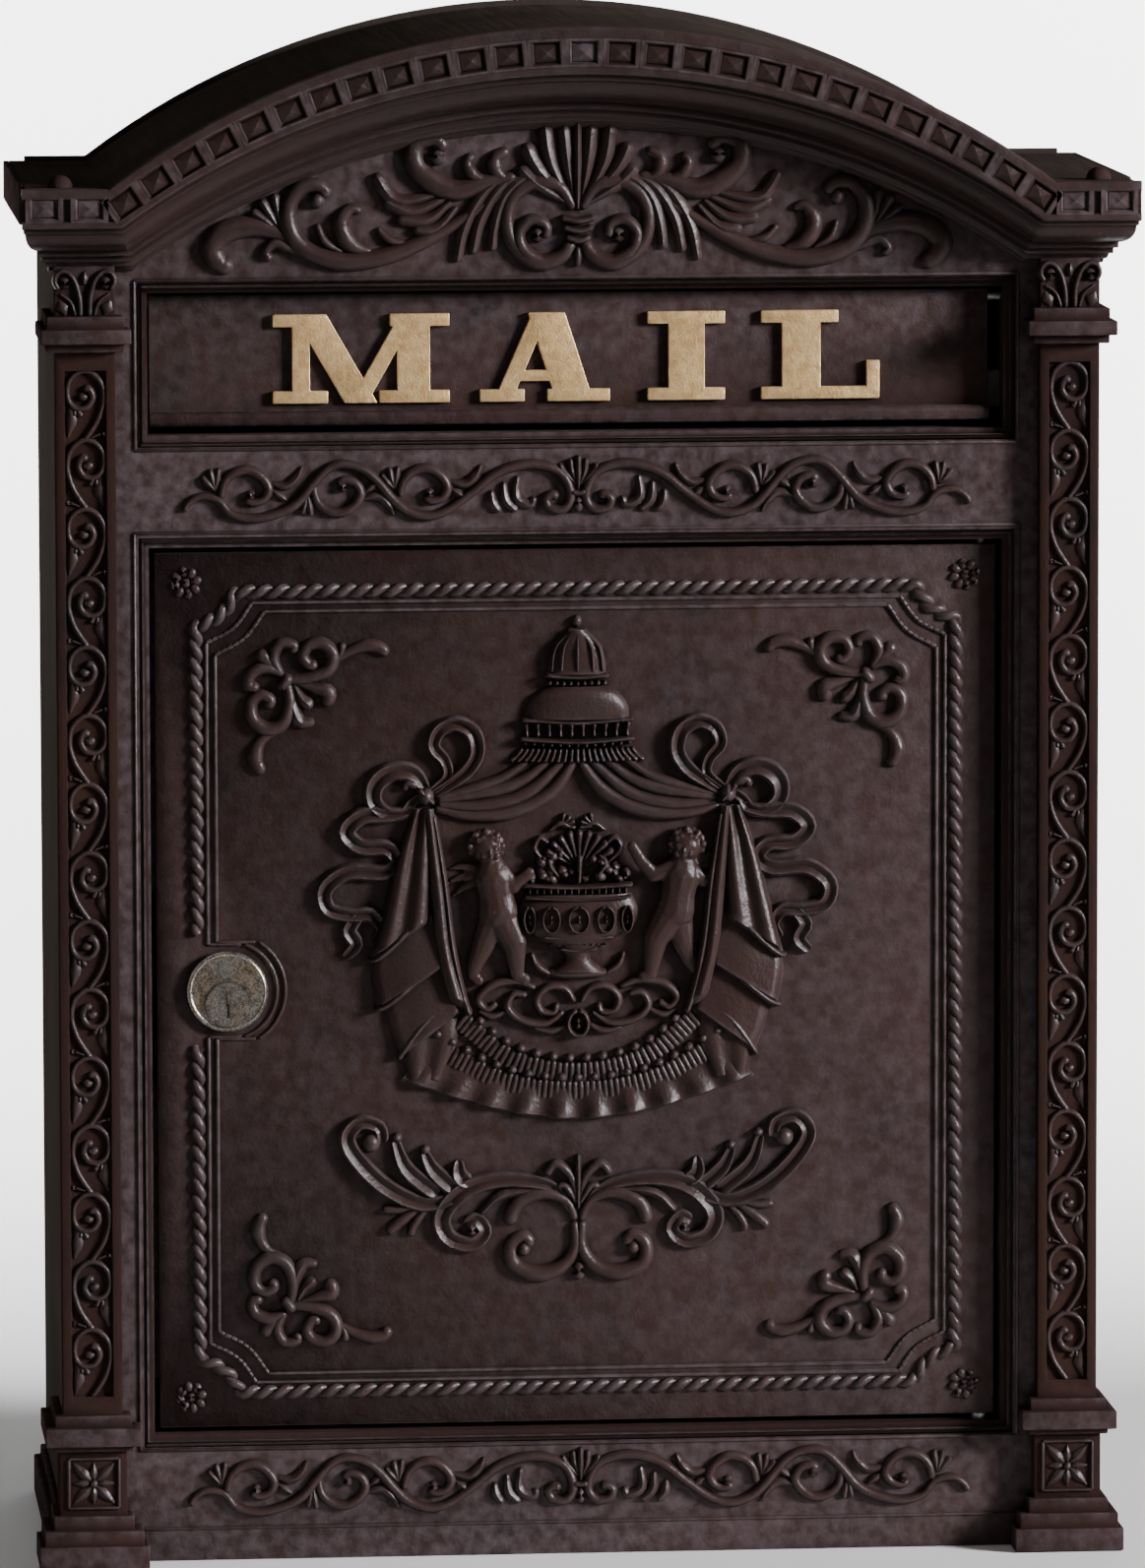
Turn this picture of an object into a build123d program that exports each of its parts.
from build123d import *
import os

# Cast wall letter box: an arched front with a mail slot and its flap, a lockable access
# door below it, corner pilasters, a moulded cornice and a vaulted roof.
#
# Frame: +Z up, the front looks along -Y and the wall is the plane Y = 0.  The origin is the
# centre of the four wall screws.  Heights in this file are above the underside of the
# plinths, and save() lowers every piece by SCREW_CENTRE_H into the frame of the part.

# ---- driving dimensions, mm -----------------------------------------------------------
DEPTH = 160.0            # wall to cornice fascia
PLATE_Y = -134.0         # front of the face plate
PLATE_THICK = 6.0
WALL_X = 173.8           # outside of the side panels and the pilasters
SHEET = 4.0              # side, back and floor panels
SCREW_CENTRE_H = 240.0
SCREW_SPACING_X = 240.0
SCREW_SPACING_Z = 300.0
SCREW_HOLE_R = 3.5

APEX_H = 513.7           # top of the arch on the centre line
KINK_X = 156.5           # where the arch meets its flat shoulders
KINK_H = 461.5
ARCH_DEPTH = 32.2        # depth of the arch moulding at the centre line
KINK_RUN = 8.2           # how far the meeting point moves in over that depth
KINK_FALL = 26.5         # and how far it falls
ROOF_THICK = 3.0
ROOF_INSET = 2.0         # roof sheet edge to the ends of the cornice
ROOF_FRONT_Y = -157.0
RIM_HEIGHT = 1.9
RIM_HALF_WIDTH = 177.8

# cornice courses: bottom below the apex, front face, half width at the shoulders
CORNICE = [
    (16.0, -DEPTH, 185.0),
    (18.6, -156.0, 183.0),
    (21.4, -151.5, 181.0),
    (24.4, -146.5, 179.0),
    (28.2, -141.6, 177.0),
    (ARCH_DEPTH, -137.4, 175.4),
]
STUD_BAND = (4.4, 12.6, 1.2)     # top and bottom below the apex, and how deep it is sunk

PILASTER_IN = 153.8      # inner edge of the shaft
SHAFT_Y = -140.0
VINE_PANEL = (57.0, 400.2, 3.2, 2.0)     # bottom, top, side margin, depth
# pilaster courses: bottom, top, overhang at the sides, overhang at the front, and how far
# back each one is carried round the corner
COURSES = [
    (0.0, 7.8, 8.3, 9.0, -118.0),
    (7.8, 12.7, 6.6, 7.5, -118.0),
    (12.7, 17.3, 3.4, 4.5, -118.0),
    (17.3, 39.2, 1.2, 2.0, -118.0),
    (39.2, 41.2, 3.4, 4.5, -103.0),
    (41.2, 47.4, 6.0, 7.5, -103.0),
    (47.4, 51.2, 2.8, 4.0, -103.0),
    (406.7, 409.6, 2.8, 4.5, -103.0),
    (409.6, 414.4, 4.9, 8.5, -103.0),
    (414.4, 418.5, 2.8, 5.0, -103.0),
]

# mail slot and access door openings: half width, bottom, top
SLOT = (142.8, 377.7, 425.2)
DOORWAY = (142.7, 41.9, 340.5)
STEP = 1.8               # width of each of the two steps round an opening
STEP_DEPTH = 1.75
FLANGE = 3.0             # walls that run back from the openings
SLOT_FLANGE_BACK_Y = -116.0
DOOR_FLANGE_BACK_Y = -119.2
DOOR_STOP_Y = -122.2

FLAP_LEFT = -142.0
FLAP_RIGHT = 138.3
FLAP_BOTTOM = 380.2
FLAP_TOP = 423.9
FLAP_Y = -124.0
FLAP_THICK = 3.5
LIP_HEIGHT = 5.0
LIP_REACH = 4.5
ROD_Y = -120.5
ROD_H = 421.5
ROD_R = 2.0
KNUCKLE_R = 3.25

LEAF_HALF = 140.7
LEAF_BOTTOM = 43.9
LEAF_TOP = 338.5
LEAF_Y = -127.0
LEAF_THICK = 4.5
HINGE_X = 136.2
HINGE_Y = -123.5
HINGE_R = 1.5
BOSS_R = 3.5
BOSS_LENGTH = 24.0
RUNNING = 0.05           # radial clearance of a turning fit

LOCK_X = -117.3
LOCK_H = 191.5
LOCK_FACE_R = 13.5
LOCK_FACE_Y = -129.6
BARREL_R = 12.0
BARREL_BACK_Y = -108.0
PLUG_DROP = 4.3          # plug axis below the centre of the lock face
PLUG_FACE_R = 7.4
PLUG_FACE_Y = -130.6
PLUG_R = 6.0
CAM_THICK = 2.5
CAM_WIDTH = 12.0
CAM_REACH = 32.0

LETTER_BOTTOM = 387.6
LETTER_TOP = 417.3
LETTER_PROUD = 2.2


# ---- helpers --------------------------------------------------------------------------
def save(name, shape):
    """Lower the piece into the part's frame and write its STEP file."""
    export_step(Pos(0, 0, -SCREW_CENTRE_H) * shape, f"parts/{name}.step")


def block(x0, x1, y0, y1, h0, h1):
    """Box between two corners."""
    return Pos((x0 + x1) / 2, (y0 + y1) / 2, (h0 + h1) / 2) * Box(x1 - x0, y1 - y0, h1 - h0)


def bar(radius, start, end):
    """Round bar from one point to another."""
    run = Vector(*end) - Vector(*start)
    low = (Align.CENTER, Align.CENTER, Align.MIN)
    return Plane(origin=start, z_dir=run) * Cylinder(radius, run.length, align=low)


def slab(face, front, back):
    """Extrude a front-view face between two Y planes."""
    return extrude(Plane.XZ.offset(-back) * face, amount=back - front)


def fuse(pieces):
    """Union of a list of overlapping or touching solids."""
    pieces = list(pieces)
    whole = pieces[0]
    for piece in pieces[1:]:
        whole = whole + piece
    return whole


def group(pieces):
    """Several separate solids kept in one node."""
    return Compound(children=[p.solids()[0] for p in pieces])


def both_sides(make):
    """The piece for the right side and its mirror image for the left."""
    right = make()
    return right, mirror(right, about=Plane.YZ)


def shoulder(drop):
    """Half width and height of the corner of the arch line that lies `drop` below the top."""
    share = drop / ARCH_DEPTH
    return KINK_X - KINK_RUN * share, KINK_H - KINK_FALL * share


def arch_line(drop, half_width):
    """Flat shoulder, arc and flat shoulder, `drop` below the top line."""
    x, h = shoulder(drop)
    arc = ThreePointArc((-x, h), (0, APEX_H - drop), (x, h))
    return Line((-half_width, h), (-x, h)) + arc + Line((x, h), (half_width, h))


def arch_band(top_drop, bottom_drop, half_width):
    """Face between two arch lines."""
    top = shoulder(top_drop)[1]
    low = shoulder(bottom_drop)[1]
    ends = Line((-half_width, low), (-half_width, top)) + Line((half_width, top), (half_width, low))
    return make_face(arch_line(top_drop, half_width) + arch_line(bottom_drop, half_width) + ends)


def arch_panel(drop, half_width):
    """Face from the base up to an arch line."""
    top = shoulder(drop)[1]
    corners = [(-half_width, top), (-half_width, 0), (half_width, 0), (half_width, top)]
    return make_face(arch_line(drop, half_width) + Polyline(*corners))


# ---- shell ----------------------------------------------------------------------------
def stepped_opening(opening):
    """Cutter for an opening with two fine steps round its front edge."""
    half, low, top = opening
    back = PLATE_Y + PLATE_THICK + 1
    cutter = block(-half, half, PLATE_Y - 1, back, low, top)
    for step in (1, 2):
        grow = STEP * step
        floor = PLATE_Y + STEP_DEPTH * (3 - step)
        cutter += block(-half - grow, half + grow, PLATE_Y - 1, floor, low - grow, top + grow)
    return cutter


def face_frame():
    """Arched face plate with both openings, their flanges and the rebate the door shuts on."""
    plate_back = PLATE_Y + PLATE_THICK
    plate = slab(arch_panel(ROOF_THICK, WALL_X - SHEET), PLATE_Y, plate_back)
    plate = plate - stepped_opening(SLOT) - stepped_opening(DOORWAY)
    half, low, top = SLOT
    outer = half + FLANGE
    parts = [plate, block(-outer, outer, plate_back, SLOT_FLANGE_BACK_Y, low - FLANGE, low)]
    for x0, x1 in ((-outer, -half), (half, outer)):
        parts.append(block(x0, x1, plate_back, SLOT_FLANGE_BACK_Y, low, top))
    half, low, top = DOORWAY
    outer = half + FLANGE
    ring = block(-outer, outer, plate_back, DOOR_FLANGE_BACK_Y, low - FLANGE, top + FLANGE)
    ring -= block(-half, half, plate_back - 1, DOOR_FLANGE_BACK_Y + 1, low, top)
    parts.append(ring)
    for h0, h1 in ((60.0, 160.0), (224.0, 330.0)):
        parts.append(block(-half, -half + 4.5, DOOR_STOP_Y, DOOR_FLANGE_BACK_Y, h0, h1))
    frame = fuse(parts)
    frame -= bar(ROD_R + RUNNING, (-150, ROD_Y, ROD_H), (150, ROD_Y, ROD_H))
    frame -= bar(HINGE_R + RUNNING, (HINGE_X, HINGE_Y, 30), (HINGE_X, HINGE_Y, 350))
    return frame - screw_holes()


def arch_cornice():
    """Front cornice: stepped courses along the arch with a lip that covers the roof edge."""
    whole = slab(arch_band(0, ROOF_THICK, CORNICE[0][2]), -DEPTH, ROOF_FRONT_Y)
    for drop, front, half_width in CORNICE:
        whole += slab(arch_band(ROOF_THICK, drop, half_width), front, PLATE_Y)
    top, bottom, sunk = STUD_BAND
    whole -= slab(arch_band(top, bottom, CORNICE[0][2] + 1), -DEPTH - 1, -DEPTH + sunk)
    lip_x = CORNICE[0][2] - ROOF_INSET
    for x0, x1 in ((-CORNICE[0][2], -lip_x), (lip_x, CORNICE[0][2])):
        whole += block(x0, x1, ROOF_FRONT_Y, PLATE_Y, KINK_H - ROOF_THICK, KINK_H)
    return whole - bolt_shanks()


def cornice_return():
    """The cornice carried back along the right side to the wall."""
    top = KINK_H - ROOF_THICK
    outer = CORNICE[0][2]
    whole = block(outer - ROOF_INSET, outer, PLATE_Y, 0, top - 1, KINK_H)
    for drop, _, half_width in CORNICE:
        whole += block(WALL_X, half_width, PLATE_Y, 0, shoulder(drop)[1], top)
    return whole


def roof_panel():
    """Vaulted roof sheet with a low rim along the wall."""
    sheet = slab(arch_band(0, ROOF_THICK, CORNICE[0][2] - ROOF_INSET), ROOF_FRONT_Y, 0)
    rim = slab(arch_band(-RIM_HEIGHT, 0, RIM_HALF_WIDTH), -SHEET, 0)
    return sheet + rim - bolt_shanks()


def back_panel():
    """Back sheet with its four wall screw holes."""
    panel = slab(arch_panel(ROOF_THICK, WALL_X - SHEET), -SHEET, 0)
    for sx in (-1, 1):
        for sz in (-1, 1):
            x = sx * SCREW_SPACING_X / 2
            h = SCREW_CENTRE_H + sz * SCREW_SPACING_Z / 2
            panel -= bar(SCREW_HOLE_R, (x, -SHEET - 1, h), (x, 1, h))
    return panel


def floor_panel():
    """Bottom of the case."""
    inner = WALL_X - SHEET
    return block(-inner, inner, PLATE_Y + PLATE_THICK, -SHEET, 4.0, 4.0 + SHEET)


def side_panel():
    """Right side sheet, from the face plate's corner to the wall."""
    sheet = block(WALL_X - SHEET, WALL_X, PLATE_Y, 0, 0, KINK_H - ROOF_THICK)
    return sheet - screw_holes()


def side_base():
    """Base moulding along the foot of the right side."""
    front = COURSES[0][4]
    low = block(WALL_X, WALL_X + 4.3, front, 0, 0, 13.0)
    return low + block(WALL_X, WALL_X + 2.0, front, 0, 13.0, 16.5)


def pilaster():
    """Right pilaster: shaft with a sunk panel, bands, die and plinth carried round the corner."""
    top = KINK_H - KINK_FALL
    post = block(PILASTER_IN, WALL_X, SHAFT_Y, PLATE_Y, 0, top)
    for low, high, side, front, back in COURSES:
        x1 = WALL_X + side
        post += block(PILASTER_IN - side, x1, SHAFT_Y - front, PLATE_Y, low, high)
        post += block(WALL_X, x1, PLATE_Y, back, low, high)
    low, high, margin, depth = VINE_PANEL
    panel = (PILASTER_IN + margin, WALL_X - margin)
    return post - block(*panel, SHAFT_Y - 1, SHAFT_Y + depth, low, high)


# ---- fastenings of the shell ----------------------------------------------------------
BRACKET_H = ((70.0, 100.0), (350.0, 374.0))
BRACKET_THICK = 3.0
BRACKET_FACE_LEG = 20.0
BRACKET_SIDE_LEG = 36.0
SCREW_R = 1.9
SCREW_HEAD_R = 3.4
SCREW_HEAD = 2.2


def bracket_screw_places():
    """Seat and direction of each bracket screw: one in the face leg, two in the side leg."""
    face = PLATE_Y + PLATE_THICK
    inner = WALL_X - SHEET
    places = []
    for side in (-1, 1):
        for low, high in BRACKET_H:
            h = (low + high) / 2
            places.append(((side * (inner - 12), face + BRACKET_THICK, h), (0, -1, 0)))
            for y in (-112.0, -97.0):
                places.append(((side * (inner - BRACKET_THICK), y, h), (side, 0, 0)))
    return places


def along(seat, way, distance):
    """The point a distance away from the seat."""
    return tuple(s + w * distance for s, w in zip(seat, way))


def screw_holes():
    """Blind holes for the bracket screws."""
    return [bar(SCREW_R + RUNNING, s, along(s, w, 6.2)) for s, w in bracket_screw_places()]


def bracket_screws():
    """Twelve pan-head screws."""
    screws = []
    for seat, way in bracket_screw_places():
        head = bar(SCREW_HEAD_R, seat, along(seat, way, -SCREW_HEAD))
        screws.append(head + bar(SCREW_R, seat, along(seat, way, 6.0)))
    return group(screws)


def corner_brackets():
    """Four angle brackets that tie the face plate and the side panels together."""
    face = PLATE_Y + PLATE_THICK
    inner = WALL_X - SHEET
    holes = screw_holes()
    brackets = []
    for side in (-1, 1):
        for low, high in BRACKET_H:
            xs = sorted((side * (inner - BRACKET_FACE_LEG), side * inner))
            leg = block(*xs, face, face + BRACKET_THICK, low, high)
            xs = sorted((side * (inner - BRACKET_THICK), side * inner))
            leg += block(*xs, face, face + BRACKET_SIDE_LEG, low, high)
            brackets.append(leg - holes)
    return group(brackets)


BOLT_X = 172.0
BOLT_Y = -149.0
BOLT_R = 2.5
BOLT_HEAD_R = 4.2


def bolt_shanks(extra=RUNNING):
    """Shanks of the two bolts that hold the roof sheet to the cornice."""
    return [bar(BOLT_R + extra, (x, BOLT_Y, KINK_H - 14), (x, BOLT_Y, KINK_H)) for x in (-BOLT_X, BOLT_X)]


def roof_bolts():
    """The two roof bolts with their domed heads."""
    bolts = []
    for shank in bolt_shanks(0):
        x = shank.center().X
        dome = Pos(x, BOLT_Y, KINK_H) * Sphere(BOLT_HEAD_R)
        dome &= block(x - 5, x + 5, BOLT_Y - 5, BOLT_Y + 5, KINK_H, KINK_H + 5)
        bolts.append(shank + dome)
    return group(bolts)


# ---- mail flap ------------------------------------------------------------------------
def mail_flap():
    """Flap with a knuckle tube along its top and a finger lip along its foot."""
    back = FLAP_Y + FLAP_THICK
    flap = block(FLAP_LEFT, FLAP_RIGHT, FLAP_Y, back, FLAP_BOTTOM, FLAP_TOP)
    lip = block(FLAP_LEFT, FLAP_RIGHT, FLAP_Y - LIP_REACH, back, FLAP_BOTTOM, FLAP_BOTTOM + LIP_HEIGHT)
    front_edges = lip.edges().filter_by(Axis.X).sort_by(Axis.Y)[:2]
    flap += fillet(front_edges, 2.0)
    ends = ((FLAP_LEFT, ROD_Y, ROD_H), (FLAP_RIGHT, ROD_Y, ROD_H))
    flap += bar(KNUCKLE_R, *ends)
    return flap - bar(ROD_R + RUNNING, (-150, ROD_Y, ROD_H), (150, ROD_Y, ROD_H))


def flap_rod():
    """Hinge rod of the flap."""
    return bar(ROD_R, (-154, ROD_Y, ROD_H), (154, ROD_Y, ROD_H))


def flap_rod_lugs():
    """Two lugs on the back of the face plate that hold the rod."""
    outer = SLOT[0] + FLANGE
    lugs = []
    for x0, x1 in ((-outer - 5, -outer), (outer, outer + 5)):
        lug = block(x0, x1, PLATE_Y + PLATE_THICK, SLOT_FLANGE_BACK_Y, 415, 427)
        lugs.append(lug - bar(ROD_R + RUNNING, (x0 - 1, ROD_Y, ROD_H), (x1 + 1, ROD_Y, ROD_H)))
    return group(lugs)


def flap_rod_clips():
    """Spring clips on the ends of the rod."""
    clips = []
    for x in (-151.8, 151.0):
        ring = bar(4.0, (x, ROD_Y, ROD_H), (x + 0.8, ROD_Y, ROD_H))
        clips.append(ring - bar(ROD_R + 0.02, (x - 1, ROD_Y, ROD_H), (x + 2, ROD_Y, ROD_H)))
    return group(clips)


def flap_stops():
    """Two lugs behind the foot of the flap, which it hangs against when shut."""
    back = FLAP_Y + FLAP_THICK
    half = SLOT[0]
    return group(
        block(x0, x1, back + 0.3, SLOT_FLANGE_BACK_Y, 384, 396)
        for x0, x1 in ((-half, -half + 3.5), (half - 8.0, half))
    )


def slanted(x_low, x_high, width):
    """Full-height slanted stroke, given the left edge at its foot and at its top."""
    corners = [(x_low, LETTER_BOTTOM), (x_low + width, LETTER_BOTTOM)]
    corners += [(x_high + width, LETTER_TOP), (x_high, LETTER_TOP)]
    return make_face(Polyline(*corners, close=True))


def upright(x0, x1, h0=LETTER_BOTTOM, h1=LETTER_TOP):
    """Upright stroke or slab serif."""
    return Pos((x0 + x1) / 2, (h0 + h1) / 2) * Rectangle(x1 - x0, h1 - h0)


SERIF = 4.2


def foot(x0, x1):
    """Slab serif at the foot of a stroke."""
    return upright(x0, x1, LETTER_BOTTOM, LETTER_BOTTOM + SERIF)


def head(x0, x1):
    """Slab serif at the top of a stroke."""
    return upright(x0, x1, LETTER_TOP - SERIF, LETTER_TOP)


def mail_letters():
    """Raised slab-serif capitals: M, A, I and L."""
    m = foot(-101, -82.5) + upright(-94.5, -88.5) + head(-101, -84)
    m += slanted(-77.0, -94.0, 11.0) + slanted(-75.5, -58.5, 6.0)
    m += upright(-59.5, -48.5) + foot(-65.5, -42) + head(-62, -42)
    a = slanted(-27.5, -14.5, 6.0) + slanted(-6.5, -16.0, 12.5)
    a += foot(-32, -17) + foot(-9.5, 11.5) + upright(-22, -4, LETTER_BOTTOM + 6.8, LETTER_BOTTOM + 10.5)
    i = upright(31, 43.2) + foot(24, 50) + head(24, 50)
    leg = upright(69, 82) + foot(62, 101.8) + head(62, 88)
    leg += upright(97.3, 101.8, LETTER_BOTTOM, LETTER_BOTTOM + 12.8)
    return group(slab(face, FLAP_Y - LETTER_PROUD, FLAP_Y) for face in (m, a, i, leg))


# ---- access door ----------------------------------------------------------------------
def door_leaf():
    """Door leaf with its two hinge bosses and the lock hole."""
    leaf = block(-LEAF_HALF, LEAF_HALF, LEAF_Y, LEAF_Y + LEAF_THICK, LEAF_BOTTOM, LEAF_TOP)
    for low in (LEAF_BOTTOM, LEAF_TOP - BOSS_LENGTH):
        leaf += bar(BOSS_R, (HINGE_X, HINGE_Y, low), (HINGE_X, HINGE_Y, low + BOSS_LENGTH))
    bore = HINGE_R + RUNNING
    leaf -= bar(bore, (HINGE_X, HINGE_Y, LEAF_BOTTOM), (HINGE_X, HINGE_Y, LEAF_BOTTOM + 18))
    leaf -= bar(bore, (HINGE_X, HINGE_Y, LEAF_TOP - 18), (HINGE_X, HINGE_Y, LEAF_TOP))
    return leaf - bar(BARREL_R, (LOCK_X, LEAF_Y - 1, LOCK_H), (LOCK_X, LEAF_Y + 10, LOCK_H))


def hinge_lug(low, high):
    """Lug on the back of the face plate that holds a hinge pin."""
    lug = block(HINGE_X - 5, HINGE_X + 5, PLATE_Y + PLATE_THICK, DOOR_FLANGE_BACK_Y, low, high)
    return lug - bar(HINGE_R, (HINGE_X, HINGE_Y, low - 1), (HINGE_X, HINGE_Y, high + 1))


def hinge_pin(low, high):
    """Door hinge pin."""
    return bar(HINGE_R, (HINGE_X, HINGE_Y, low), (HINGE_X, HINGE_Y, high))


def hinge_washer():
    """Washer that carries the foot of the door."""
    low = DOORWAY[1]
    ring = bar(BOSS_R, (HINGE_X, HINGE_Y, low), (HINGE_X, HINGE_Y, LEAF_BOTTOM - 0.1))
    return ring - bar(HINGE_R + 0.02, (HINGE_X, HINGE_Y, low - 1), (HINGE_X, HINGE_Y, LEAF_BOTTOM + 1))


# ---- lock -----------------------------------------------------------------------------
PLUG_H = LOCK_H - PLUG_DROP


def lock_bar(radius, front, back, height=PLUG_H):
    """Round bar along the lock, on the plug axis unless another height is given."""
    return bar(radius, (LOCK_X, front, height), (LOCK_X, back, height))


def lock_body():
    """Lock barrel with its round face, bored off centre for the plug."""
    body = lock_bar(LOCK_FACE_R, LOCK_FACE_Y, LEAF_Y, LOCK_H)
    body += lock_bar(BARREL_R, LEAF_Y, BARREL_BACK_Y, LOCK_H)
    body -= lock_bar(PLUG_FACE_R + RUNNING, LOCK_FACE_Y - 1, LEAF_Y)
    return body - lock_bar(PLUG_R + RUNNING, LEAF_Y - 1, BARREL_BACK_Y + 1)


def lock_nut():
    """Six-sided nut that clamps the barrel behind the door."""
    front = LEAF_Y + LEAF_THICK
    face = Pos(LOCK_X, LOCK_H) * (RegularPolygon(17.0, 6) - Circle(BARREL_R))
    return slab(face, front, front + 4.0)


def lock_plug():
    """Turning plug with an upright keyway and a tail for the cam."""
    face_back = LEAF_Y - RUNNING
    plug = lock_bar(PLUG_FACE_R, PLUG_FACE_Y, face_back) + lock_bar(PLUG_R, face_back, BARREL_BACK_Y)
    plug += lock_bar(4.0, BARREL_BACK_Y, BARREL_BACK_Y + 0.2 + CAM_THICK)
    key_low = PLUG_H - 4.5
    plug -= block(LOCK_X - 0.9, LOCK_X + 0.9, PLUG_FACE_Y - 1, PLUG_FACE_Y + 16, key_low, key_low + 9.0)
    return plug - lock_bar(2.0, BARREL_BACK_Y - 7, BARREL_BACK_Y + 4)


def lock_cam():
    """Cam on the plug's tail.  It points up when unlocked and swings behind the keeper."""
    front = BARREL_BACK_Y + 0.2
    arm = slab(
        Pos(LOCK_X, PLUG_H + (CAM_REACH - CAM_WIDTH / 2) / 2)
        * Rectangle(CAM_WIDTH, CAM_REACH - CAM_WIDTH / 2),
        front,
        front + CAM_THICK,
    )
    arm += lock_bar(CAM_WIDTH / 2, front, front + CAM_THICK)
    arm += lock_bar(CAM_WIDTH / 2, front, front + CAM_THICK, PLUG_H + CAM_REACH - CAM_WIDTH / 2)
    return arm - lock_bar(4.0, front - 1, front + CAM_THICK + 1)


def cam_screw():
    """Screw that holds the cam on the plug."""
    seat = BARREL_BACK_Y + 0.2 + CAM_THICK
    return lock_bar(5.0, seat, seat + 2.0) + lock_bar(2.0, BARREL_BACK_Y - 6.5, seat)


KEEPER_SCREW_X = -154.5
KEEPER_SCREW_H = (PLUG_H - 9, PLUG_H + 9)


def keeper_bars(radius, front, back):
    """Bars on the axes of the two keeper screws."""
    return [bar(radius, (KEEPER_SCREW_X, front, h), (KEEPER_SCREW_X, back, h)) for h in KEEPER_SCREW_H]


def lock_keeper():
    """Angle on the back of the face plate that the cam swings behind."""
    back = PLATE_Y + PLATE_THICK
    edge = -DOORWAY[0] - FLANGE
    keeper = block(edge - 14, edge, back, back + 2.5, PLUG_H - 16, PLUG_H + 16)
    keeper += block(edge - 3, edge, back, BARREL_BACK_Y - 2, PLUG_H - 16, PLUG_H + 16)
    return keeper - keeper_bars(SCREW_R + RUNNING, back - 1, back + 4)


def keeper_screws():
    """Two screws of the keeper."""
    seat = PLATE_Y + PLATE_THICK + 2.5
    shanks = keeper_bars(SCREW_R, seat - 2.5, seat)
    heads = keeper_bars(SCREW_HEAD_R, seat, seat + SCREW_HEAD)
    return group(shank + cap for shank, cap in zip(shanks, heads))


# ---- write every node -----------------------------------------------------------------
os.makedirs("parts", exist_ok=True)

for name, make in (
    ("cornice_return", cornice_return),
    ("side_panel", side_panel),
    ("side_base", side_base),
    ("pilaster", pilaster),
):
    right, left = both_sides(make)
    save(f"{name}_right", right)
    save(f"{name}_left", left)

for make in (
    face_frame, arch_cornice, roof_panel, back_panel, floor_panel,
    corner_brackets, bracket_screws, roof_bolts,
    mail_flap, mail_letters, flap_rod, flap_rod_lugs, flap_rod_clips, flap_stops,
    door_leaf, hinge_washer,
    lock_body, lock_nut, lock_plug, lock_cam, cam_screw, lock_keeper, keeper_screws,
):
    save(make.__name__, make())

upper = DOORWAY[2] + FLANGE
lower = DOORWAY[1] - FLANGE
save("hinge_lug_upper", hinge_lug(upper, upper + 9))
save("hinge_lug_lower", hinge_lug(lower - 9, lower))
save("hinge_pin_upper", hinge_pin(LEAF_TOP - 17, upper + 9))
save("hinge_pin_lower", hinge_pin(lower - 9, LEAF_BOTTOM + 17))
